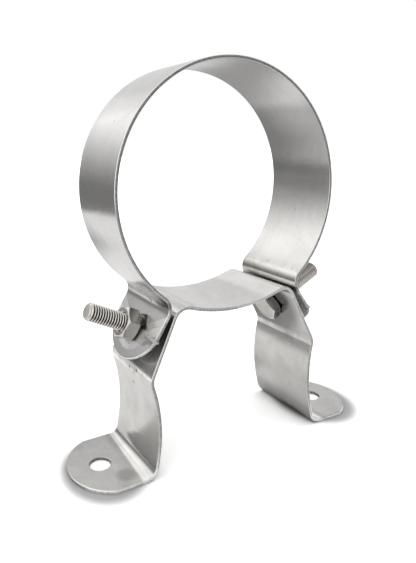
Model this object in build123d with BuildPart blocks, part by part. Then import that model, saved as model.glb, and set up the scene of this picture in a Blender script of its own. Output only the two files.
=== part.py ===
from build123d import *
from math import cos, radians, tan
import os

# A conduit clamp of stainless strap. A rolled band closes over the pipe, and a bolt through
# an ear at each of its ends draws it down on a folded bracket with two drilled feet.
# X runs from foot to foot, Y along the pipe, and Z up from the surface the feet stand on.

# Strap stock, the same for the bracket and the band
strap_width = 40.0
strap_thickness = 1.5

# Strap ends: the feet and the ears come off one punch, whose arc is a little wider than the strap
end_hole_diameter = 9.5
hole_to_tip = 14.2
tip_radius_over_half_width = 1.5
nib_radius = 0.7
edge_break = 0.3

# Bracket, with corners given where the middles of the sheet would meet before bending
foot_hole_spacing = 120.8
foot_bend_span = 87.4
waist_span = 87.2
waist_height = 42.0
leg_bow = 3.35
shoulder_span = 57.8
lug_rise = 30.2
saddle_sag = 5.95
foot_bend_radius = 9.7
waist_bend_radius = 6.2
shoulder_bend_radius = 5.6

# Band
band_bore = 110.0
saddle_lift = 3.0
ear_splay = 7.5
neck_bend_radius = 5.5
lug_to_ear = 3.2

# M8 bolts and nuts
bolt_diameter = 8.0
bolt_length = 30.8
bolt_point_chamfer = 1.0
across_flats = 13.0
head_height = 5.3
nut_height = 6.5
crown_face_ratio = 0.93
crown_angle = 30.0
bore_mouth_chamfer = 0.5
bolt_drop = 16.4
head_turn = {"left": 17.0, "right": 0.0}
nut_turn = {"left": 16.0, "right": -8.0}

# Clearances
thread_clearance = 0.05
seat_clearance = 0.05

# Sheet and corner points in the XZ plane, for the half of the clamp on the +X side
half_sheet = strap_thickness / 2
half_width = strap_width / 2
tip_radius = half_width + tip_radius_over_half_width
foot_end = Vector(foot_hole_spacing / 2 + hole_to_tip + strap_thickness, half_sheet)
foot_corner = Vector(foot_bend_span / 2, half_sheet)
waist_corner = Vector(waist_span / 2, waist_height)
shoulder_corner = Vector(shoulder_span / 2, waist_height + lug_rise)
saddle_middle = Vector(0, waist_height + lug_rise - saddle_sag)
band_centre = saddle_middle + Vector(0, half_sheet - saddle_lift + band_bore / 2)
band_mid_radius = band_bore / 2 + half_sheet

# The bolt stands square to the lug, and the ear hangs off it with its own splay
lug_direction = (waist_corner - shoulder_corner).normalized()
bolt_direction = lug_direction.rotate(Axis.Z, 90)
ear_direction = lug_direction.rotate(Axis.Z, ear_splay)
lug_hole = shoulder_corner + lug_direction * bolt_drop
ear_hole = lug_hole + bolt_direction * (lug_to_ear + strap_thickness)
ear_end = ear_hole + ear_direction * (hole_to_tip + strap_thickness)


def standing(point, side):
    """The place in space of a point of the XZ outline, on the +X side (1) or the -X side (-1)."""
    return Vector(side * point.X, 0, point.Y)


def facing(point, outward, side):
    """A plane at a point of the outline that looks along outward, with its X axis along -Y."""
    return Plane(standing(point, side), x_dir=(0, -1, 0), z_dir=standing(outward, side))


def along_strap(point, tipward, side):
    """A plane in the middle of the sheet at a strap end's hole, with its X axis to the tip."""
    tip = standing(tipward, side)
    return Plane(standing(point, side), x_dir=tip, z_dir=tip.cross(Vector(0, 1, 0)))


def fold_strap(line, corners):
    """Round the corners of a half outline, mirror it and give it the thickness of the sheet."""
    for corner, inside_radius in corners:
        vertex = line.vertices().sort_by_distance((corner.X, corner.Y, 0))[0]
        fillet(vertex, inside_radius + half_sheet)
    mirror(about=Plane.YZ)
    offset(amount=half_sheet, side=Side.BOTH)


def punch_strap_end(hole_plane):
    """Trim one end of a strap to its round tip and pierce its hole, as one stroke of the punch."""
    with BuildSketch(hole_plane) as waste:
        with Locations((hole_to_tip - tip_radius, 0)):
            Rectangle(2 * tip_radius, 2 * strap_width, align=(Align.MIN, Align.CENTER))
            Circle(tip_radius, mode=Mode.SUBTRACT)
        Circle(end_hole_diameter / 2)
    extrude(waste.sketch, amount=strap_thickness, both=True, mode=Mode.SUBTRACT)


# The bracket: feet, legs bowed inwards, lugs and a saddle under the pipe, from one strap
with BuildPart() as base_bracket:
    with BuildSketch(Plane.XZ):
        with BuildLine() as bracket_line:
            TangentArc(saddle_middle, shoulder_corner, tangent=(1, 0))
            Line(shoulder_corner, waist_corner)
            SagittaArc(foot_corner, waist_corner, leg_bow)
            Line(foot_corner, foot_end)
            fold_strap(
                bracket_line,
                (
                    (shoulder_corner, shoulder_bend_radius),
                    (waist_corner, waist_bend_radius),
                    (foot_corner, foot_bend_radius),
                ),
            )
        make_face()
    extrude(amount=half_width, both=True)
    for side in (1, -1):
        foot_hole = Vector(foot_hole_spacing / 2, half_sheet)
        punch_strap_end(along_strap(foot_hole, Vector(1, 0), side))
        with BuildSketch(facing(lug_hole, bolt_direction, side)) as lug_piercing:
            Circle(end_hole_diameter / 2)
        extrude(lug_piercing.sketch, amount=strap_thickness, both=True, mode=Mode.SUBTRACT)
    fillet(base_bracket.edges(), edge_break)
base_bracket.part.label = "base_bracket"

# The band: an open ring whose ends turn out into an ear on each side, with the burr that the
# punch left at the front corner of each ear
with BuildPart() as upper_band:
    with BuildLine(mode=Mode.PRIVATE):
        ring_circle = CenterArc(band_centre, band_mid_radius, 0, 360)
        ear_line = IntersectingLine(ear_end, -ear_direction, ring_circle)
    neck_corner = ear_line @ 1
    with BuildSketch(Plane.XZ):
        with BuildLine() as band_line:
            TangentArc(band_centre + Vector(0, band_mid_radius), neck_corner, tangent=(1, 0))
            Line(neck_corner, ear_end)
            fold_strap(band_line, ((neck_corner, neck_bend_radius),))
        make_face()
    extrude(amount=half_width, both=True)
    for side in (1, -1):
        punch_strap_end(along_strap(ear_hole, ear_direction, side))
    fillet(upper_band.edges(), edge_break)
    nib_x = hole_to_tip - tip_radius + (tip_radius**2 - half_width**2) ** 0.5
    for side in (1, -1):
        with BuildSketch(along_strap(ear_hole, ear_direction, side)):
            with Locations((nib_x, -half_width)):
                Circle(nib_radius)
        extrude(amount=half_sheet, both=True)
upper_band.part.label = "upper_band"


# Hexagon crowns, shared by the bolt heads and the nuts
corner_radius = across_flats / 3**0.5
crown_radius = crown_face_ratio * across_flats / 2
crown_drop = (corner_radius - crown_radius) * tan(radians(crown_angle))


def turned_about(plane):
    """The plane through an axis in which the half section of a turned piece is drawn."""
    return Plane(plane.origin, x_dir=plane.x_dir, z_dir=-plane.y_dir)


# The bolts: heads under the saddle against the lugs, points out through the ears
bolts = []
for name, side in (("left", -1), ("right", 1)):
    bearing = facing(lug_hole, bolt_direction, side).offset(-half_sheet - seat_clearance)
    with BuildPart() as bolt:
        with BuildSketch(bearing):
            RegularPolygon(across_flats / 2, 6, major_radius=False, rotation=head_turn[name])
        extrude(amount=-head_height)
        with BuildSketch(turned_about(bearing)):
            Polygon(
                (0, 0),
                (corner_radius, 0),
                (corner_radius, crown_drop - head_height),
                (crown_radius, -head_height),
                (0, -head_height),
                align=None,
            )
        revolve(axis=Axis(bearing.origin, bearing.z_dir), mode=Mode.INTERSECT)
        with BuildSketch(bearing):
            Circle(bolt_diameter / 2)
        extrude(amount=bolt_length)
        point = bolt.faces().sort_by(Axis(bearing.origin, bearing.z_dir))[-1]
        chamfer(point.edges(), bolt_point_chamfer)
    bolt.part.label = f"{name}_bolt"
    bolts.append(bolt.part)

# The nuts: run down on the ears, so that only the lower rim of each bears on its tilted ear
nut_bore_radius = bolt_diameter / 2 + thread_clearance
nut_mouth_radius = nut_bore_radius + bore_mouth_chamfer
ear_slope = tan(radians(ear_splay))
ear_to_nut = half_sheet / cos(radians(ear_splay)) + crown_radius * ear_slope + seat_clearance
nuts = []
for name, side in (("left", -1), ("right", 1)):
    seat = facing(ear_hole, bolt_direction, side).offset(ear_to_nut)
    with BuildPart() as nut:
        with BuildSketch(seat):
            RegularPolygon(across_flats / 2, 6, major_radius=False, rotation=nut_turn[name])
        extrude(amount=nut_height)
        with BuildSketch(turned_about(seat)):
            Polygon(
                (nut_mouth_radius, 0),
                (crown_radius, 0),
                (corner_radius, crown_drop),
                (corner_radius, nut_height - crown_drop),
                (crown_radius, nut_height),
                (nut_mouth_radius, nut_height),
                (nut_bore_radius, nut_height - bore_mouth_chamfer),
                (nut_bore_radius, bore_mouth_chamfer),
                align=None,
            )
        revolve(axis=Axis(seat.origin, seat.z_dir), mode=Mode.INTERSECT)
    nut.part.label = f"{name}_nut"
    nuts.append(nut.part)

os.makedirs("parts", exist_ok=True)
for piece in (base_bracket.part, upper_band.part, *bolts, *nuts):
    export_step(piece, f"parts/{piece.label}.step")
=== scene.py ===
from functools import partial, reduce
from math import atan2, cos, pi, radians, sin, tan

import bpy
from mathutils import Matrix, Vector
from mathutils.bvhtree import BVHTree


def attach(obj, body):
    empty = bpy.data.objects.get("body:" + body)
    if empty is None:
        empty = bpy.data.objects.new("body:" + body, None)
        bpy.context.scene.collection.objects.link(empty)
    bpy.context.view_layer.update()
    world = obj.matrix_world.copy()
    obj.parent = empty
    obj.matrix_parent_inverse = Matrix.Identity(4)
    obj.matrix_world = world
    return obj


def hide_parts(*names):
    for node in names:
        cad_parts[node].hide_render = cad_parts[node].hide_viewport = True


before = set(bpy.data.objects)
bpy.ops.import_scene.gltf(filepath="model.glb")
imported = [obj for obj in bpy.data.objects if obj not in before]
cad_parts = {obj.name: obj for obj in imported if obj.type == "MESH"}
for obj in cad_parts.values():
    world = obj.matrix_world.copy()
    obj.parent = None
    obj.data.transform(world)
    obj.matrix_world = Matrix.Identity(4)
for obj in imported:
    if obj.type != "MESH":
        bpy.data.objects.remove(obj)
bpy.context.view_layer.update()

bpy.context.scene.view_settings.view_transform = "Standard"


# The bracket is one length of stainless strap, punched and folded cold into two drilled feet, two
# legs bowed inwards, two lugs and the saddle under the pipe. It carries everything else.
strap_width = 0.04
sheet_thickness = 0.0015
edge_break = 0.0003
foot_hole = Vector((0.0604, 0, 0))
foot_hole_radius = 0.00475
lug_hole = Vector((0.0360776, 0, 0.0574541))
# The middle of the painted shade round each lug's bolt head.
lug_shade_middle = (0.0361, 0, 0.0575)
strap_steel = (0.66, 0.652, 0.635, 1.0)
strap_roughness = 0.2
film_brown = (0.4, 0.33, 0.27, 1.0)
spot_brown = (0.09, 0.075, 0.06, 1.0)
smoothed_bend = 40
weld_distance = 2e-6
cut_tolerance = 1e-7
just_below = 2e-5


def alone(piece):
    """Make one object the only one selected, and the active one."""
    bpy.ops.object.select_all(action="DESELECT")
    piece.select_set(True)
    bpy.context.view_layer.objects.active = piece


def open_mesh(piece):
    """Open one piece's mesh for editing, with all of it selected."""
    alone(piece)
    bpy.ops.object.mode_set(mode="EDIT")
    bpy.ops.mesh.select_all(action="SELECT")


def close_mesh():
    """Leave edit mode, so that the mesh can be read and written in code."""
    bpy.ops.object.mode_set(mode="OBJECT")


def joined_copy(node, name):
    """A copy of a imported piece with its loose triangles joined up."""
    piece = bpy.data.objects.new(name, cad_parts[node].data.copy())
    bpy.context.collection.objects.link(piece)
    alone(piece)
    bpy.ops.mesh.customdata_custom_splitnormals_clear()
    open_mesh(piece)
    bpy.ops.mesh.remove_doubles(threshold=weld_distance)
    close_mesh()
    piece.data.materials.clear()
    return piece


def smooth_over(piece, angle):
    """Smooth all but the sharp edges, with the broad faces kept flat."""
    alone(piece)
    bpy.ops.object.shade_smooth_by_angle(angle=radians(angle))
    flatten = piece.modifiers.new("broad faces lead", "WEIGHTED_NORMAL")
    flatten.keep_sharp = True
    bpy.ops.object.modifier_apply(modifier=flatten.name)


def mark_sheet_depth(piece, inside):
    """Give each vertex its depth in the sheet, from 1 on the outer skin to -1 on the inner one.

    The two skins are the faces that have the other skin one thickness behind them. The inner one
    faces the point given as inside."""
    mesh = piece.data
    points = [vertex.co for vertex in mesh.vertices]
    whole = BVHTree.FromPolygons(points, [face.vertices[:] for face in mesh.polygons])
    outer_faces, inner_faces = [], []
    for face in mesh.polygons:
        below_face = face.center - face.normal * just_below
        behind = whole.ray_cast(below_face, -face.normal)[3]
        if behind is not None and 0.9 < behind / sheet_thickness < 1.05:
            faces_out = (face.center - inside).dot(face.normal) > 0
            (outer_faces if faces_out else inner_faces).append(face.vertices[:])
    outer_skin = BVHTree.FromPolygons(points, outer_faces)
    inner_skin = BVHTree.FromPolygons(points, inner_faces)
    depth = mesh.attributes.new("sheet_depth", "FLOAT", "POINT")
    for vertex, value in zip(mesh.vertices, depth.data):
        to_outer = outer_skin.find_nearest(vertex.co)[3]
        to_inner = inner_skin.find_nearest(vertex.co)[3]
        value.value = (to_inner - to_outer) / max(to_inner + to_outer, sheet_thickness)


def new_material(name):
    """A material with nodes, and its node tree."""
    material = bpy.data.materials.new(name)
    material.use_nodes = True
    return material, material.node_tree


def put(tree, kind, inputs=(), **settings):
    """Place a shader node with its settings, and set or link its inputs, by place or by name."""
    made = tree.nodes.new("ShaderNode" + kind)
    for name, value in settings.items():
        setattr(made, name, value)
    for key, value in inputs.items() if isinstance(inputs, dict) else enumerate(inputs):
        if isinstance(value, bpy.types.NodeSocket):
            tree.links.new(value, made.inputs[key])
        elif value is not None:
            made.inputs[key].default_value = value
    return made


def sums(tree, operation, *values):
    """A number worked out from others at each point of the surface."""
    return put(tree, "Math", values, operation=operation).outputs[0]


def product(tree, *values):
    """Values or masks multiplied together."""
    return reduce(partial(sums, tree, "MULTIPLY"), values)


def largest(tree, *masks):
    """Masks laid over one another, with the largest at each point."""
    return reduce(partial(sums, tree, "MAXIMUM"), masks)


def vector_sum(tree, operation, *vectors):
    """A vector worked out from others at each point of the surface."""
    return put(tree, "VectorMath", vectors, operation=operation).outputs["Vector"]


def measured(tree, operation, *vectors):
    """A length, a distance or another number measured on vectors."""
    return put(tree, "VectorMath", vectors, operation=operation).outputs["Value"]


def object_place(tree):
    """The place of each point in the piece's own coordinates."""
    return put(tree, "TexCoord").outputs["Object"]


def along_axis(tree, place, axis):
    """How far a place lies along X, Y or Z."""
    return put(tree, "SeparateXYZ", (place,)).outputs[axis]


def ramp(tree, value, low, high, to_low=0.0, to_high=1.0):
    """A smooth step from one value to another."""
    return put(tree, "MapRange", (value, low, high, to_low, to_high),
               interpolation_type="SMOOTHSTEP").outputs[0]


def noise(tree, vector, scale, detail=2.0, rough=0.5, warp=0.0):
    """A cloudy pattern of values from 0 to 1."""
    return put(tree, "TexNoise", {"Vector": vector, "Scale": scale, "Detail": detail,
                                  "Roughness": rough, "Distortion": warp}).outputs["Fac"]


def about_zero(tree, pattern):
    """A pattern of values from 0 to 1, shifted to swing about 0."""
    return sums(tree, "SUBTRACT", pattern, 0.5)


def toned_where(tree, tone, mask, factor):
    """A tone that is multiplied by a factor where a mask is 1."""
    return product(tree, tone, ramp(tree, mask, 0.0, 1.0, 1.0, factor))


def blend_values(tree, share, first, second):
    """The Mix node on its value sockets."""
    return put(tree, "Mix", {0: share, 2: first, 3: second}).outputs[0]


def blend_colours(tree, share, first, second):
    """The Mix node on its colour sockets."""
    return put(tree, "Mix", {0: share, 6: first, 7: second}, data_type="RGBA").outputs[2]


def start_group(name, takes, gives):
    """A node group whose sockets are floats, with the default of each that it takes."""
    group = bpy.data.node_groups.new(name, "ShaderNodeTree")
    for socket, value in takes.items():
        made = group.interface.new_socket(socket, in_out="INPUT", socket_type="NodeSocketFloat")
        made.default_value = value
    for socket in gives:
        group.interface.new_socket(socket, in_out="OUTPUT", socket_type="NodeSocketFloat")
    return group, group.nodes.new("NodeGroupInput").outputs, group.nodes.new("NodeGroupOutput")


def give_out(group, results, values):
    """Link what a group has worked out to its own outputs."""
    for socket, value in values.items():
        group.links.new(value, results.inputs[socket])


# Mill finish: fine lines along the rolled strap, soft cloudy patches and a few pits
mill_finish, given, results = start_group(
    "mill finish", {"Lines": 0.06, "Clouds": 0.4, "Roughness": 0.2, "Pits": 0.3},
    ("Tone", "Roughness", "Height"))
place = object_place(mill_finish)
along_strap = put(mill_finish, "Mapping", {"Vector": place, "Scale": (26, 1100, 26)}).outputs[0]
wide_streaks = put(mill_finish, "Mapping", {"Vector": place, "Scale": (14, 190, 14)}).outputs[0]
lines = about_zero(mill_finish, noise(mill_finish, along_strap, 1.0, 3.0, 0.6))
streaks = about_zero(mill_finish, noise(mill_finish, wide_streaks, 1.0, 3.0, 0.6, 0.6))
clouds = about_zero(mill_finish, noise(mill_finish, place, 62, 4.0, 0.55, 0.5))
pits = ramp(mill_finish, noise(mill_finish, place, 640, 1.0, 0.4), 0.73, 0.8)
mottle = sums(mill_finish, "MULTIPLY_ADD", streaks, 0.3, clouds)
tone = sums(mill_finish, "MULTIPLY_ADD", mottle, given["Clouds"], 1.0)
tone = sums(mill_finish, "MULTIPLY_ADD", lines, given["Lines"], tone)
tone = sums(mill_finish, "SUBTRACT", tone, product(mill_finish, pits, given["Pits"]))
rough = sums(mill_finish, "MULTIPLY_ADD", mottle, -0.12, given["Roughness"])
rough = sums(mill_finish, "MULTIPLY_ADD", lines, 0.1, rough)
height = sums(mill_finish, "MULTIPLY_ADD", lines, 0.12, product(mill_finish, clouds, 3.0))
height = sums(mill_finish, "SUBTRACT", height, product(mill_finish, pits, 0.8))
give_out(mill_finish, results, {"Tone": tone, "Roughness": rough, "Height": height})

# Sheared edge: a painted highlight on the rounded rims, a smooth zone where the punch cut, and a
# torn, darker one where the sheet broke
sheared_edge, given, results = start_group(
    "sheared edge", {"Tear": 0.1, "Cut Tone": 0.8}, ("Cut", "Tone", "Roughness", "Height"))
place = object_place(sheared_edge)
depth = put(sheared_edge, "Attribute", attribute_name="sheet_depth").outputs["Fac"]
from_middle = sums(sheared_edge, "ABSOLUTE", depth)
on_cut = ramp(sheared_edge, from_middle, 1.0, 0.93)
# The rounded rims get a lighter tone: a painted highlight.
rim = product(sheared_edge, ramp(sheared_edge, from_middle, 0.52, 0.68), on_cut)
ragged = noise(sheared_edge, place, 700, 3.0, 0.6)
tear_line = sums(sheared_edge, "MULTIPLY_ADD", about_zero(sheared_edge, ragged), 0.9, depth)
torn = ramp(sheared_edge, tear_line, sums(sheared_edge, "ADD", given["Tear"], 0.1),
            sums(sheared_edge, "SUBTRACT", given["Tear"], 0.1))
cut_tone = product(sheared_edge, given["Cut Tone"], ramp(sheared_edge, torn, 0.0, 1.0, 1.15, 0.7),
                   ramp(sheared_edge, ragged, 0.2, 0.8, 0.75, 1.25))
give_out(sheared_edge, results, {
    "Cut": on_cut,
    "Tone": blend_values(sheared_edge, rim, cut_tone, 1.42),
    "Roughness": blend_values(sheared_edge, rim, 0.42, 0.2),
    "Height": product(sheared_edge, torn, ragged)})

# Handling stain: a soft brown film, of heat or fingers, in the places that a mask gives
stain_film, given, results = start_group("stain film", {"Mask": 1.0, "Grain": 140.0}, ("Film",))
patchy = noise(stain_film, object_place(stain_film), given["Grain"], 3.0, 0.6, 0.4)
film = product(stain_film, ramp(stain_film, patchy, 0.42, 0.7), given["Mask"])
give_out(stain_film, results, {"Film": film})


def near_point(tree, place, spot, radius, core=0.25):
    """1 about a spot of the piece, falling to 0 at the radius."""
    return ramp(tree, measured(tree, "DISTANCE", place, spot), radius, radius * core)


def near_height(tree, place, height, reach, core=0.2):
    """1 about a height on the piece, falling to 0 a reach above and below."""
    above = sums(tree, "SUBTRACT", along_axis(tree, place, "Z"), height)
    return ramp(tree, sums(tree, "ABSOLUTE", above), reach, reach * core)


def sheet_depth(tree):
    """The depth in the sheet that mark_sheet_depth has given to each vertex."""
    return put(tree, "Attribute", attribute_name="sheet_depth").outputs["Fac"]


def on_inner_skin(tree):
    """1 on the sheet's inner skin."""
    return ramp(tree, sheet_depth(tree), -0.9, -0.95)


def finish_metal(tree, colour, tone, rough, relief, strength, depth):
    """Feed a metal's colour, its tone, roughness and fine relief to the material's shader."""
    shader = tree.nodes["Principled BSDF"]
    toned = put(tree, "VectorMath", {0: colour, "Scale": tone}, operation="SCALE").outputs[0]
    bump = put(tree, "Bump", {"Strength": strength, "Distance": depth, "Height": relief})
    tree.links.new(toned, shader.inputs["Base Color"])
    tree.links.new(rough, shader.inputs["Roughness"])
    tree.links.new(bump.outputs[0], shader.inputs["Normal"])
    shader.inputs["Metallic"].default_value = 1.0


def strap_material(name, cloudiness, cut_tone, film_mask, marks, painted_light):
    """The strap's stainless steel, with the film, the marks, and the painted light and shade of
    this piece.
    """
    material, tree = new_material(name)
    place = object_place(tree)
    skin = put(tree, "Group", {"Clouds": cloudiness, "Roughness": strap_roughness},
               node_tree=mill_finish).outputs
    edge = put(tree, "Group", {"Cut Tone": cut_tone}, node_tree=sheared_edge).outputs
    film = put(tree, "Group", {"Mask": film_mask(tree, place)}, node_tree=stain_film).outputs[0]
    colour = blend_colours(tree, product(tree, film, 0.55), strap_steel, film_brown)
    colour = blend_colours(tree, product(tree, marks(tree, place), 0.85), colour, spot_brown)
    tone, rough, height = (blend_values(tree, edge["Cut"], skin[socket], edge[socket])
                           for socket in ("Tone", "Roughness", "Height"))
    tone = product(tree, tone, painted_light(tree, place))
    finish_metal(tree, colour, tone, rough, height, 0.6, 0.00006)
    return material


def bracket_film(tree, place):
    """Both waists, where the strap was folded hottest, and faintly the legs below them."""
    waist = near_height(tree, place, 0.0415, 0.0045)
    legs = product(tree, near_height(tree, place, 0.026, 0.02), 0.35)
    return largest(tree, waist, legs)


def bracket_marks(tree, place):
    """Small brown spots that the photograph shows on the left leg."""
    spots = ((-0.0438, 0.0009, 0.0414), (-0.0438, -0.0061, 0.0423), (-0.0423, 0.0007, 0.0341))
    return largest(tree, *[near_point(tree, place, spot, 0.0011) for spot in spots])


# Each foot was folded over a narrow bar, so its bend is a tight crease that opens out towards the
# front edge: the turn is shared between the end of the leg, the crease and the root of the foot.
# Points and slopes are in the XZ plane, and a slope is measured from straight down.
bend_centre = Vector((0.05171, 0.0112))
bend_radius = 0.01045
leg_slope = radians(10.74)
foot_slope = pi / 2
leg_end = Vector((0.04144, 0.00925))
crease_radius = 0.0038
crease_shares = (0.08, 0.22, 0.3, 0.3, 0.1)
crease_middle = (0.0464, 0, 0.0021)
bend_cuts = 30
bend_slack = 1e-3
sheet_reach = 0.0009


def crease_runs(y):
    """The middle line of a foot's bend at y: the length of each run, and its slope at both ends."""
    front = 0.5 - y / strap_width
    slopes = (leg_slope, leg_slope, radians(30 - 10 * front), radians(60), foot_slope, foot_slope)
    turns = list(zip(slopes, slopes[1:]))
    radii = (0, 0.009 + 0.006 * front, crease_radius, crease_radius + 0.0055 * front, 0)
    drop = leg_end.y - sheet_thickness / 2
    reach = bend_centre.x - leg_end.x
    for radius, (start, end) in zip(radii, turns):
        drop -= radius * (sin(end) - sin(start))
        reach -= radius * (cos(start) - cos(end))
    straight_leg = drop / cos(leg_slope)
    straight_foot = reach - straight_leg * sin(leg_slope)
    lengths = [radius * (end - start) for radius, (start, end) in zip(radii, turns)]
    lengths[0], lengths[-1] = straight_leg, straight_foot
    return [(length, start, end) for length, (start, end) in zip(lengths, turns)]


def on_crease(y, share):
    """The place and slope on the creased middle line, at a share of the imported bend's turn."""
    point = leg_end.copy()
    slope = leg_slope
    for part, (length, start, end) in zip(crease_shares, crease_runs(y)):
        done = min(share / part, 1.0)
        slope = start + (end - start) * done
        half_turn = (slope - start) / 2
        straightness = sin(half_turn) / half_turn if slope - start > 1e-6 else 1.0
        middle = (start + slope) / 2
        point += Vector((sin(middle), -cos(middle))) * (length * done * straightness)
        share -= part
        if share <= 0:
            break
    return point, slope


def bend_place(vertex, side):
    """A vertex's turn round a foot's packed bend as a share, and its distance from the centre."""
    away = Vector((side * vertex.co.x, vertex.co.z)) - bend_centre
    turn = atan2(-away.y, -away.x)
    return (turn - leg_slope) / (foot_slope - leg_slope), away.length


def in_bend(vertex, side):
    """Whether a vertex belongs to a foot's packed bend, with the lines where it begins and ends."""
    share, away = bend_place(vertex, side)
    return -bend_slack < share < 1 + bend_slack and abs(away - bend_radius) < sheet_reach


def crease_foot_bend(piece, side):
    """Cut one foot's bend finer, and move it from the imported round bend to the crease."""
    mesh = piece.data
    cuts = [((0, y / 1000, 0), (0, 1, 0)) for y in range(-18, 19, 3)]
    for step in range(1, bend_cuts):
        slope = leg_slope + (foot_slope - leg_slope) * step / bend_cuts
        cuts.append(((side * bend_centre.x, 0, bend_centre.y), (side * sin(slope), 0, -cos(slope))))
    for point, normal in cuts:
        bend = [in_bend(vertex, side) for vertex in mesh.vertices]
        open_mesh(piece)
        bpy.ops.mesh.select_mode(type="FACE")
        bpy.ops.mesh.select_all(action="DESELECT")
        close_mesh()
        for face in mesh.polygons:
            face.select = all(bend[v] for v in face.vertices)
        bpy.ops.object.mode_set(mode="EDIT")
        bpy.ops.mesh.bisect(plane_co=point, plane_no=normal, threshold=cut_tolerance)
        close_mesh()
    half_sheet = sheet_thickness / 2
    for vertex in mesh.vertices:
        if in_bend(vertex, side):
            share, away = bend_place(vertex, side)
            depth = bend_radius - away
            if abs(vertex.co.y) < strap_width / 2 - edge_break:
                depth = half_sheet if depth > 0 else -half_sheet
            point, slope = on_crease(vertex.co.y, min(max(share, 0.0), 1.0))
            vertex.co.x = side * (point.x + cos(slope) * depth)
            vertex.co.z = point.y + sin(slope) * depth


def feet_painted_light(tree, place, mirrored):
    """Painted light on the feet: a painted highlight along each crease, a band of painted shade
    where each foot begins, the foot plate beyond it painted darker, and one darker patch.
    """
    x = along_axis(tree, mirrored, "X")
    z = along_axis(tree, mirrored, "Z")
    front = sums(tree, "MULTIPLY_ADD", along_axis(tree, place, "Y"), -1 / strap_width, 0.5)
    across = sums(tree, "SUBTRACT", x, product(tree, front, 0.0012))
    in_section = put(tree, "CombineXYZ", (across, 0.0, z)).outputs[0]
    from_crease = measured(tree, "DISTANCE", in_section, crease_middle)
    # A painted highlight along the crease.
    crease_highlight = ramp(tree, from_crease, 0.0019, 0.0008)
    # Painted shade in a band where the foot begins, and the foot plate beyond it painted darker.
    from_root = sums(tree, "SUBTRACT", x, sums(tree, "MULTIPLY_ADD", front, 0.0021, 0.0471))
    tone = sums(tree, "ADD", ramp(tree, from_root, 0.0, 0.0007, 1.0, 0.72),
                ramp(tree, from_root, 0.0012, 0.0045, 0.0, 0.12))
    tone = sums(tree, "MULTIPLY_ADD", crease_highlight, 0.4, tone)
    dark_patch = near_point(tree, place, (-0.0535, -0.0125, 0.0015), 0.0065)
    return toned_where(tree, tone, dark_patch, 0.7)


def bracket_painted_light(tree, place):
    """The feet as above; painted shade in the foot holes, about the bolt heads and low inside the
    legs;
    and painted highlights on the right of the saddle and on the cut rims there and at the feet.
    """
    mirrored = vector_sum(tree, "ABSOLUTE", place)
    z = along_axis(tree, mirrored, "Z")
    from_hole = measured(tree, "DISTANCE", vector_sum(tree, "MULTIPLY", mirrored, (1, 1, 0)),
                         foot_hole)
    hole = product(tree, ramp(tree, from_hole, foot_hole_radius + 0.0002, foot_hole_radius + 3e-5),
                   ramp(tree, z, 0.0018, 0.0016))
    from_bolt = measured(tree, "DISTANCE", mirrored, lug_shade_middle)
    lug = product(tree, ramp(tree, from_bolt, 0.023, 0.011), ramp(tree, z, 0.0685, 0.065))
    low_inside = product(tree, on_inner_skin(tree), ramp(tree, z, 0.016, 0.004))
    sheared = ramp(tree, sums(tree, "ABSOLUTE", sheet_depth(tree)), 0.97, 0.9)
    along = sums(tree, "MULTIPLY_ADD", sheared, 0.015, along_axis(tree, place, "X"))
    saddle = product(tree, ramp(tree, along, 0.012, 0.019), ramp(tree, z, 0.0645, 0.0655))
    rim_highlight = product(tree, sheared, largest(tree, saddle, ramp(tree, z, 0.006, 0.003)))
    tone = feet_painted_light(tree, place, mirrored)
    # Painted shade: holes, bolt heads, low insides. Painted highlights: saddle, cut rims.
    for mask, factor in ((hole, 0.3), (lug, 0.48), (low_inside, 0.62), (saddle, 1.25),
                         (rim_highlight, 1.25)):
        tone = toned_where(tree, tone, mask, factor)
    return tone


bracket = joined_copy("base_bracket", "folded_bracket")
crease_foot_bend(bracket, -1)
crease_foot_bend(bracket, 1)
smooth_over(bracket, smoothed_bend)
mark_sheet_depth(bracket, Vector((0, 0, -0.05)))
bracket.data.materials.append(
    strap_material("bracket strap", 0.5, 1.25, bracket_film, bracket_marks, bracket_painted_light))
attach(bracket, "clamp")
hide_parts("base_bracket")


# The band is a second length of the same strap, rolled into an open ring round the pipe, with its
# round ends turned out as ears. The bolts through the ears draw it down on the bracket.
ring_centre = Vector((0, 0, 0.119))
ring_radius = 0.0565
ear_hole = Vector((0.0403035, 0, 0.0595111))
ear_splay = radians(7.5)


def on_right(tree, place):
    """1 on the piece's right half."""
    return ramp(tree, along_axis(tree, place, "X"), -0.001, 0.001)


def band_film(tree, place):
    """The two necks, where the ring was turned out into its ears."""
    return near_height(tree, place, 0.0745, 0.005)


def band_marks(tree, place):
    """The short scratch beside the left ear's bend."""
    spots = ((-0.0344, -0.0019, 0.0724), (-0.0344, -0.0027, 0.0717), (-0.0344, -0.0036, 0.0714),
             (-0.0344, -0.0045, 0.0713))
    return largest(tree, *[near_point(tree, place, spot, 0.0006) for spot in spots])


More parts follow.
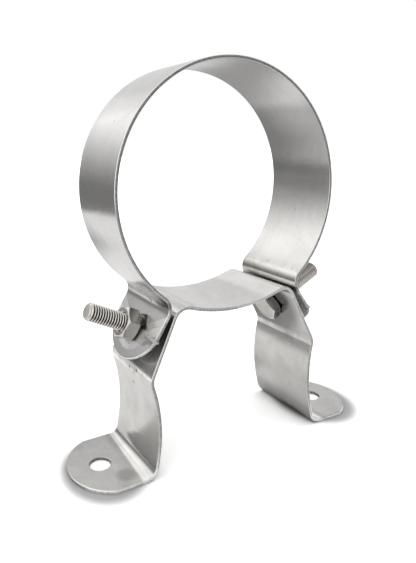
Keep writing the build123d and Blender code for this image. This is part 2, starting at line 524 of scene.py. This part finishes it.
def band_painted_light(tree, place):
    """Painted highlights on the ears, brighter on each burr, and painted shade at each neck and
    inside the right half.
    """
    z = along_axis(tree, place, "Z")
    right = on_right(tree, place)
    left = sums(tree, "SUBTRACT", 1.0, right)
    # The ears and each burr are painted lighter: painted highlights.
    ears = ramp(tree, z, 0.071, 0.066, 1.0, 1.18)
    burr_highlights = [near_point(tree, place, (x, -0.0205, 0.0585), 0.0016) for x in (-0.0413, 0.0413)]
    tone = sums(tree, "MULTIPLY_ADD", largest(tree, *burr_highlights), 0.5, ears)
    # Painted shade along each neck's bend and on the inner skin of the right half.
    necks = sums(tree, "ADD", product(tree, left, near_height(tree, place, 0.0729, 0.0024)),
                 product(tree, right, near_height(tree, place, 0.0688, 0.0026)))
    inside = product(tree, on_inner_skin(tree), right, ramp(tree, z, 0.117, 0.126),
                     ramp(tree, z, 0.159, 0.15))
    return toned_where(tree, toned_where(tree, tone, necks, 0.5), inside, 0.68)


band = joined_copy("upper_band", "rolled_band")
smooth_over(band, smoothed_bend)
mark_sheet_depth(band, ring_centre)
band.data.materials.append(
    strap_material("band strap", 0.25, 1.12, band_film, band_marks, band_painted_light))
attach(band, "clamp")
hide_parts("upper_band")


# The bolts are M8 hexagon-head bolts, forged cold and threaded along their whole length by
# rolling. Each goes out through its lug and ear, with its head under the saddle.
across_flats = 0.013
corner_radius = across_flats / 3**0.5
crown_radius = 0.93 * across_flats / 2
crown_slope = tan(radians(30))
head_height = 0.0053
bolt_length = 0.0308
crest_radius = 0.004
root_radius = 0.00323
point_radius = 0.003
pitch = 0.00125
head_overlap = 0.0008
bearing_drop = 0.0008
bolt_axis = Vector((0.89914, 0, 0.437661))
bolt_seat = lug_hole - bolt_axis * bearing_drop
bolt_sides = {"left": (-1, 17.0), "right": (1, 0.0)}
cutter_margin = 0.001
forged_edge = 25
smoothed_forging = 35
# Tone of the painted shade in thread roots and in the gaps at the bearing faces.
painted_gap_shade = 0.08


def cut_with(piece, tool, operation):
    """Trim or pierce a piece with a second solid, which is used up."""
    alone(piece)
    change = piece.modifiers.new("cut", "BOOLEAN")
    change.operation = operation
    change.solver = "EXACT"
    change.object = tool
    bpy.ops.object.modifier_apply(modifier=change.name)
    bpy.data.objects.remove(tool)


def turned_cone(start, start_radius, end, end_radius, sides=96):
    """A turned blank about the Z axis, from one height and radius to another."""
    bpy.ops.mesh.primitive_cone_add(vertices=sides, radius1=start_radius, radius2=end_radius,
                                    depth=end - start, location=(0, 0, (start + end) / 2))
    bpy.ops.object.transform_apply(location=True, rotation=True, scale=True)
    return bpy.context.object


def crowned_hexagon(height):
    """A hexagonal blank that stands on z = 0, a corner on its +X side, both its ends crowned."""
    bpy.ops.mesh.primitive_circle_add(vertices=6, radius=corner_radius, fill_type="NGON",
                                      rotation=(0, 0, radians(30)))
    blank = bpy.context.object
    bpy.ops.object.transform_apply(location=True, rotation=True, scale=True)
    open_mesh(blank)
    bpy.ops.mesh.extrude_region_move(TRANSFORM_OT_translate={"value": (0, 0, height)})
    bpy.ops.mesh.select_all(action="SELECT")
    bpy.ops.mesh.normals_make_consistent(inside=False)
    close_mesh()
    wide_radius = crown_radius + height / crown_slope
    cut_with(blank, turned_cone(0, wide_radius, height, crown_radius), "INTERSECT")
    cut_with(blank, turned_cone(0, crown_radius, height, wide_radius), "INTERSECT")
    return blank


def soften(piece, width):
    """Break the sharp edges a little, as forging leaves them."""
    alone(piece)
    rounded = piece.modifiers.new("broken edges", "BEVEL")
    rounded.width = width
    rounded.segments = 2
    rounded.limit_method = "ANGLE"
    rounded.angle_limit = radians(forged_edge)
    bpy.ops.object.modifier_apply(modifier=rounded.name)


head = crowned_hexagon(head_height)
soften(head, 0.00012)
smooth_over(head, smoothed_forging)

# Thread: one turn's outline, from root over crest to root, carried up the shank as a screw. Each
# point is a share of the turn and a radius.
thread_outline = ((0.0, root_radius), (0.05, 0.00325), (0.25, 0.0036), (0.45, 0.00396),
                  (0.5, crest_radius), (0.55, 0.00396), (0.75, 0.0036), (0.95, 0.00325),
                  (1.0, root_radius))
thread_turns = 28
thread_steps = 48
spare_turns = 2
smoothed_thread = 50


def cut_off_at(height, **cleared):
    """Cut the open mesh level at a height, close it there, and clear what lies on one side."""
    bpy.ops.mesh.select_all(action="SELECT")
    bpy.ops.mesh.bisect(plane_co=(0, 0, height), plane_no=(0, 0, 1), threshold=cut_tolerance,
                        use_fill=True, **cleared)


bpy.ops.mesh.primitive_grid_add(x_subdivisions=1, y_subdivisions=len(thread_outline) - 1, size=1)
shank = bpy.context.object
open_mesh(shank)
bpy.ops.mesh.select_all(action="DESELECT")
close_mesh()
for vertex in shank.data.vertices:
    vertex.select = vertex.co.x > 0
bpy.ops.object.mode_set(mode="EDIT")
bpy.ops.mesh.delete(type="VERT")
close_mesh()
line_up = sorted(shank.data.vertices, key=lambda vertex: vertex.co.y)
for vertex, (share, radius) in zip(line_up, thread_outline):
    vertex.co = (radius, 0, share * pitch)
screw = shank.modifiers.new("thread", "SCREW")
screw.angle = radians(360)
screw.screw_offset = pitch
screw.iterations = thread_turns
screw.steps = thread_steps
screw.render_steps = thread_steps
bpy.ops.object.modifier_apply(modifier=screw.name)
open_mesh(shank)
bpy.ops.mesh.remove_doubles(threshold=weld_distance)
bpy.ops.transform.translate(value=(0, 0, -spare_turns * pitch))
cut_off_at(-head_overlap, clear_inner=True)
cut_off_at(bolt_length, clear_outer=True)
bpy.ops.mesh.select_all(action="SELECT")
bpy.ops.mesh.normals_make_consistent(inside=False)
close_mesh()
point_height = bolt_length - (crest_radius - point_radius)
cut_with(shank, turned_cone(-cutter_margin, crest_radius + point_height + cutter_margin,
                            bolt_length, point_radius), "INTERSECT")
alone(shank)
bpy.ops.object.shade_smooth_by_angle(angle=radians(smoothed_thread))

# The head hangs below z = 0, and the shank starts just inside it
open_mesh(head)
bpy.ops.transform.mirror(orient_type="GLOBAL", constraint_axis=(False, False, True),
                         center_override=(0, 0, 0))
bpy.ops.mesh.normals_make_consistent(inside=False)
close_mesh()


def set_in_place(pattern, name, seat, side, turn):
    """A copy of a fastener made about the Z axis, set on its seat square to the bolt's line."""
    copy = bpy.data.objects.new(name, pattern.data.copy())
    bpy.context.collection.objects.link(copy)
    out = Vector((side * bolt_axis.x, 0, bolt_axis.z))
    across = Vector((0, -1, 0))
    basis = Matrix((across, out.cross(across), out)).transposed().to_4x4()
    copy.matrix_world = (Matrix.Translation((side * seat.x, 0, seat.z)) @ basis
                         @ Matrix.Rotation(radians(turn), 4, "Z"))
    alone(copy)
    bpy.ops.object.transform_apply(location=True, rotation=True, scale=True)
    return copy


def bolt_place(tree, place):
    """How far a place lies out along its bolt from the head's bearing face, and off its axis."""
    mirrored = vector_sum(tree, "ABSOLUTE", place)
    from_seat = vector_sum(tree, "SUBTRACT", mirrored, bolt_seat)
    out = measured(tree, "DOT_PRODUCT", from_seat, bolt_axis)
    away = measured(tree, "LENGTH", from_seat)
    minus_out_squared = product(tree, out, out, -1.0)
    square = sums(tree, "MULTIPLY_ADD", away, away, minus_out_squared)
    return out, sums(tree, "SQRT", sums(tree, "MAXIMUM", square, 0.0))


def on_crown(tree, out, off_axis, face, way):
    """1 on the cone that crowns a hexagon's end, whose face is at a place along the bolt.

    The way is 1 where that face looks out along the bolt, and -1 where it looks back."""
    rise = product(tree, sums(tree, "SUBTRACT", out, face), way)
    over = sums(tree, "MULTIPLY_ADD", off_axis, crown_slope, rise)
    rim = crown_radius * crown_slope
    return product(tree, ramp(tree, over, rim - 0.00014, rim - 0.00005),
                   ramp(tree, off_axis, crown_radius - 0.0002, crown_radius))


def fastener_material(name, steel, roughness, warm, scale, painted_light):
    """Stainless steel as forged and rolled: cloudy, with dull specks, and the painted light and
    shade and any matt places of this piece.
    """
    material, tree = new_material(name)
    place = object_place(tree)
    clouds = noise(tree, place, scale, 4.0, 0.6, 0.4)
    specks = ramp(tree, noise(tree, place, scale * 6, 1.0, 0.4), 0.7, 0.78)
    film = put(tree, "Group", {"Grain": scale * 1.5}, node_tree=stain_film).outputs["Film"]
    colour = blend_colours(tree, product(tree, film, 0.5), steel, warm)
    mottle = about_zero(tree, clouds)
    tone = sums(tree, "MULTIPLY_ADD", mottle, 0.3, 1.0)
    tone = sums(tree, "SUBTRACT", tone, product(tree, specks, 0.45))
    rough = sums(tree, "MULTIPLY_ADD", mottle, 0.2, roughness)
    tone, rough = painted_light(tree, place, tone, rough)
    finish_metal(tree, colour, tone, rough, clouds, 0.5, 0.00004)
    return material


def bolt_painted_light(tree, place, tone, rough):
    """Painted shade in the thread's roots and under the head's bearing side, the head painted
    darker, the right shank painted lighter, a matt end face painted lighter, and a matt, darker
    point.
    """
    out, off_axis = bolt_place(tree, place)
    right = on_right(tree, place)
    on_head = ramp(tree, out, 0.0002, -0.0001)
    on_shank = product(tree, ramp(tree, out, 0.0002, 0.0004),
                       ramp(tree, out, bolt_length - 0.0012, bolt_length - 0.0015))
    # Painted shade in the thread's roots, half as deep on the right bolt.
    in_thread = product(tree, ramp(tree, off_axis, 0.00385, 0.0034), on_shank,
                        ramp(tree, right, 0.0, 1.0, 1.0, 0.5))
    # Painted light: the right shank lighter, the head darker.
    tone = toned_where(tree, tone, product(tree, on_shank, right), 1.4)
    tone = toned_where(tree, tone, on_head, 0.45)
    tone = toned_where(tree, product(tree, tone, 1.12), in_thread, painted_gap_shade)
    # The end face is rougher, and painted lighter.
    end_face = largest(tree, ramp(tree, out, 0.0002 - head_height, -0.0001 - head_height),
                       on_crown(tree, out, off_axis, -head_height, -1.0))
    rough = sums(tree, "MULTIPLY_ADD", end_face, 0.3, rough)
    tone = sums(tree, "ADD", end_face, tone)
    # Painted shade in the gap under the head's bearing crown.
    tone = toned_where(tree, tone, on_crown(tree, out, off_axis, 0.0, 1.0), painted_gap_shade)
    at_point = ramp(tree, out, bolt_length - 0.0011, bolt_length - 0.0009)
    point_face = product(tree, at_point, ramp(tree, off_axis, 0.0032, 0.0029))
    tone = toned_where(tree, toned_where(tree, tone, at_point, 0.85), point_face, 0.95)
    return tone, sums(tree, "MULTIPLY_ADD", point_face, 0.35, rough)


bolt_steel = fastener_material("bolt steel", (0.62, 0.605, 0.58, 1.0), 0.24,
                               (0.55, 0.46, 0.39, 1.0), 260, bolt_painted_light)
alone(shank)
head.select_set(True)
bpy.ops.object.join()
bolt_pattern = bpy.context.object
bolt_pattern.data.materials.clear()
bolt_pattern.data.materials.append(bolt_steel)
for side_name, (side, turn) in bolt_sides.items():
    bolt = set_in_place(bolt_pattern, side_name + "_threaded_bolt", bolt_seat, side, turn)
    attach(bolt, side_name + "_bolt")
    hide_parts(side_name + "_bolt")
bpy.data.objects.remove(bolt_pattern)


# The nuts are M8 hexagon nuts with both faces crowned and the mouths of the bore countersunk.
# Each is run down its bolt until its lower rim bears on the tilted ear.
nut_height = 0.0065
bore_radius = 0.00405
mouth_radius = 0.00455
bore_sides = 64
mouth_margin = 0.0001
seat_clearance = 0.00005
ear_to_nut = sheet_thickness / 2 / cos(ear_splay) + crown_radius * tan(ear_splay) + seat_clearance
nut_seat = ear_hole + bolt_axis * ear_to_nut
nut_sides = {"left": (-1, 16.0), "right": (1, -8.0)}


def nut_painted_light(tree, place, tone, rough):
    """A painted highlight on the outer face and crown, and painted shade on the crown against the
    ear.
    """
    out, off_axis = bolt_place(tree, place)
    inner_face = (ear_hole - lug_hole).length + ear_to_nut + bearing_drop
    outer_face = inner_face + nut_height
    crown = on_crown(tree, out, off_axis, outer_face, 1.0)
    face = ramp(tree, out, outer_face - 0.0002, outer_face - 0.0001)
    flat_face = sums(tree, "SUBTRACT", face, product(tree, face, crown))
    back_crown = on_crown(tree, out, off_axis, inner_face, -1.0)
    # Painted highlight on the outer face and crown; painted shade in the gap at the ear.
    for mask, factor in ((crown, 1.5), (flat_face, 2.4), (back_crown, painted_gap_shade)):
        tone = toned_where(tree, tone, mask, factor)
    return tone, rough


# The edges are broken before the bore is cut, so that the mouths stay crisp
nut_pattern = crowned_hexagon(nut_height)
soften(nut_pattern, 0.0001)
bore = turned_cone(-cutter_margin, bore_radius, nut_height + cutter_margin, bore_radius, bore_sides)
cut_with(nut_pattern, bore, "DIFFERENCE")
inner_mouth = turned_cone(-mouth_margin, mouth_radius + mouth_margin, mouth_radius, 0, bore_sides)
cut_with(nut_pattern, inner_mouth, "DIFFERENCE")
outer_mouth = turned_cone(nut_height - mouth_radius, 0, nut_height + mouth_margin,
                          mouth_radius + mouth_margin, bore_sides)
cut_with(nut_pattern, outer_mouth, "DIFFERENCE")
smooth_over(nut_pattern, smoothed_forging)
nut_steel = fastener_material("nut steel", (0.37, 0.365, 0.35, 1.0), 0.2,
                              (0.5, 0.44, 0.38, 1.0), 210, nut_painted_light)
nut_pattern.data.materials.clear()
nut_pattern.data.materials.append(nut_steel)
for side_name, (side, turn) in nut_sides.items():
    nut = set_in_place(nut_pattern, side_name + "_hexagon_nut", nut_seat, side, turn)
    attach(nut, side_name + "_nut")
    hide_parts(side_name + "_nut")
bpy.data.objects.remove(nut_pattern)


# The floor is white paper. An even white sky throws no shadow, so each foot's soft shade and the
# fine dark line where it touches the paper are given in the paper's own colour.
shade_forward = 0.003
shade_middle = 0.0599
shade_half_length = 0.0161
shade_half_width = 0.02
contact_reach = 0.008

bpy.ops.mesh.primitive_plane_add(size=6, location=(0, 0, -0.00002))
floor = bpy.context.object
floor.name = "studio_floor"
paper, tree = new_material("white paper")
tree.nodes.clear()
rays = put(tree, "LightPath").outputs
in_mirror = largest(tree, rays["Is Glossy Ray"], rays["Is Transmission Ray"])
white = sums(tree, "MULTIPLY_ADD", rays["Is Camera Ray"], 0.8, 0.75)
white = sums(tree, "MULTIPLY_ADD", in_mirror, 0.25, white)
place = object_place(tree)
mirrored = vector_sum(tree, "ABSOLUTE", place)
from_hole = measured(tree, "DISTANCE", mirrored, foot_hole)
shifted = vector_sum(tree, "ABSOLUTE", vector_sum(tree, "ADD", place, (0, shade_forward, 0)))
aside = vector_sum(tree, "SUBTRACT", shifted, (shade_middle, 0, 0))
aside = vector_sum(tree, "MULTIPLY", aside, (1 / shade_half_length, 1 / shade_half_width, 0))
shade = ramp(tree, measured(tree, "LENGTH", aside), 0.93, 1.35, 0.33, 1.0)
open_sky = put(tree, "AmbientOcclusion", {"Distance": contact_reach}, samples=16).outputs["AO"]
shade = product(tree, shade, sums(tree, "POWER", open_sky, 0.35))
in_front = ramp(tree, along_axis(tree, place, "Y"), -0.008, -0.014, 0.22, 0.7)
under_hole = ramp(tree, from_hole, 0.0052, 0.0049)
shade = largest(tree, shade, product(tree, in_mirror, in_front), under_hole)
matt = put(tree, "BsdfDiffuse", {"Color": product(tree, white, shade)})
put(tree, "OutputMaterial", {"Surface": matt.outputs[0]})
floor.data.materials.append(paper)


# The sky is an even white. Grey and white cards stand and lie about the clamp, as in a product
# studio, and only the metal's reflections show them.
card_strength = 2.0
world = bpy.data.worlds.new("white sky")
bpy.context.scene.world = world
world.use_nodes = True
world.node_tree.nodes["Background"].inputs["Color"].default_value = (1.0, 1.0, 1.0, 1.0)
world.node_tree.nodes["Background"].inputs["Strength"].default_value = 1.0


def studio_card(name, middle, width, height, shades, turn=(0, 0)):
    """A card with its shades from the near or bottom edge on, turned in degrees about X and Z."""
    bpy.ops.mesh.primitive_plane_add(size=1, location=middle,
                                     rotation=(radians(turn[0]), 0, radians(turn[1])))
    card = bpy.context.object
    card.name = name
    card.scale = (width, height, 1)
    card.visible_camera = False
    card.visible_diffuse = False
    card.visible_shadow = False
    material, tree = new_material(name.replace("_", " "))
    tree.nodes.clear()
    up = along_axis(tree, put(tree, "TexCoord").outputs["Generated"], "Y")
    graded = put(tree, "ValToRGB", (up,))
    while len(graded.color_ramp.elements) < len(shades):
        graded.color_ramp.elements.new(1.0)
    for stop, (share, shade) in zip(graded.color_ramp.elements, shades):
        stop.position = share
        stop.color = (*[shade / card_strength] * 3, 1.0)
    glow = put(tree, "Emission", {"Color": graded.outputs["Color"], "Strength": card_strength})
    put(tree, "OutputMaterial", {"Surface": glow.outputs[0]})
    card.data.materials.append(material)


def upright_card(name, bearing, distance, width, height, shades, shift=0.0):
    """A studio card that stands on the floor at a bearing from the clamp and faces it."""
    away = Vector((sin(radians(bearing)), cos(radians(bearing)), 0))
    aside = Vector((away.y, -away.x, 0))
    middle = away * distance + aside * shift + Vector((0, 0, height / 2))
    studio_card(name, middle, width, height, shades, (90, -bearing))


def even(shade):
    """The shades of a plain card."""
    return (0.0, shade), (1.0, shade)


upright_card("graded_wall", -32, 0.48, 0.4, 0.75,
             ((0.0, 0.21), (0.15, 0.22), (0.19, 0.32), (0.25, 0.48), (0.34, 0.78), (0.42, 1.12),
              (0.5, 1.38), (1.0, 1.42)), -0.01)
upright_card("soft_wall", 28, 0.48, 0.48, 0.5,
             ((0.0, 0.55), (0.1, 0.55), (0.15, 0.88), (0.4, 0.84), (1.0, 0.8)))
upright_card("low_card_left", 0, 0.16, 0.108, 0.085,
             ((0.0, 1.0), (0.18, 0.95), (0.36, 0.5), (0.5, 0.32), (1.0, 0.32)), -0.024)
upright_card("low_card_right", 0, 0.16, 0.08, 0.063,
             ((0.0, 1.0), (0.25, 0.8), (0.5, 0.4), (1.0, 0.36)), 0.07)
upright_card("left_wall", -105, 0.6, 0.6, 0.6, ((0.0, 0.9), (0.3, 1.3), (1.0, 1.3)))
for number, (bearing, shade, height) in enumerate((
        (70, 0.4, 0.8), (100, 0.2, 0.8), (130, 0.2, 0.6), (160, 0.17, 0.55), (190, 0.22, 0.55))):
    upright_card(f"dark_room_{number}", bearing, 0.6, 0.325, height,
                 ((0.0, shade), (0.85, shade), (1.0, 0.6)))
studio_card("front_floor_card", (0, -0.32, 0.0002), 1.0, 0.57, ((0.0, 0.35), (1.0, 0.36)))
studio_card("edge_card", (0.14, -0.15, 0.0004), 0.28, 0.13, even(0.75))
upright_card("right_window", 95, 0.3, 0.16, 0.2, ((0.0, 1.4), (0.8, 1.4), (1.0, 0.5)))
studio_card("left_foot_card", (-0.058, -0.0285, 0.0004), 0.044, 0.015, even(0.8))
studio_card("right_foot_card", (0.066, -0.0285, 0.0004), 0.044, 0.015, even(0.85))
studio_card("right_floor_card", (0.21, 0.05, 0.0002), 0.26, 0.2, even(0.2))
studio_card("back_floor_card", (0.17, 0.32, 0.0002), 0.32, 0.29,
            ((0.0, 0.4), (0.9, 0.4), (1.0, 0.5)))
studio_card("under_card", (0.036, 0.06, 0.0002), 0.052, 0.05,
            ((0.0, 0.75), (0.2, 0.62), (0.35, 0.5), (0.5, 0.36), (0.7, 0.26), (1.0, 0.3)))


# The camera stands where the photograph was taken from: close, a little above the ring's middle,
# and to the left. Its place is given ahead, right and up of the ring's centre, in ring radii.
image_width = 416
image_height = 563
focal_pixels = 532.63
principal_point = (132.0, 186.0)
bearing, dip, lean = radians(25.4), radians(5.6), radians(-2.4)
from_ring = (-4.367, -0.629, -0.009)
ahead = Vector((sin(bearing) * cos(dip), cos(bearing) * cos(dip), -sin(dip)))
level_right = ahead.cross(Vector((0, 0, 1))).normalized()
level_up = level_right.cross(ahead)
right = level_right * cos(lean) + level_up * sin(lean)
up = level_up * cos(lean) - level_right * sin(lean)
lens_at = ring_centre + (ahead * from_ring[0] + right * from_ring[1]
                         + up * from_ring[2]) * ring_radius
camera_data = bpy.data.cameras.new("photograph")
camera = bpy.data.objects.new("photograph", camera_data)
bpy.context.collection.objects.link(camera)
camera.matrix_world = (Matrix.Translation(lens_at)
                       @ Matrix((right, up, -ahead)).transposed().to_4x4())
camera_data.sensor_width = 36
camera_data.lens = focal_pixels * camera_data.sensor_width / image_height
camera_data.shift_x = (image_width / 2 - principal_point[0]) / image_height
camera_data.shift_y = (principal_point[1] - image_height / 2) / image_height
camera_data.clip_start = 0.01
bpy.context.scene.camera = camera
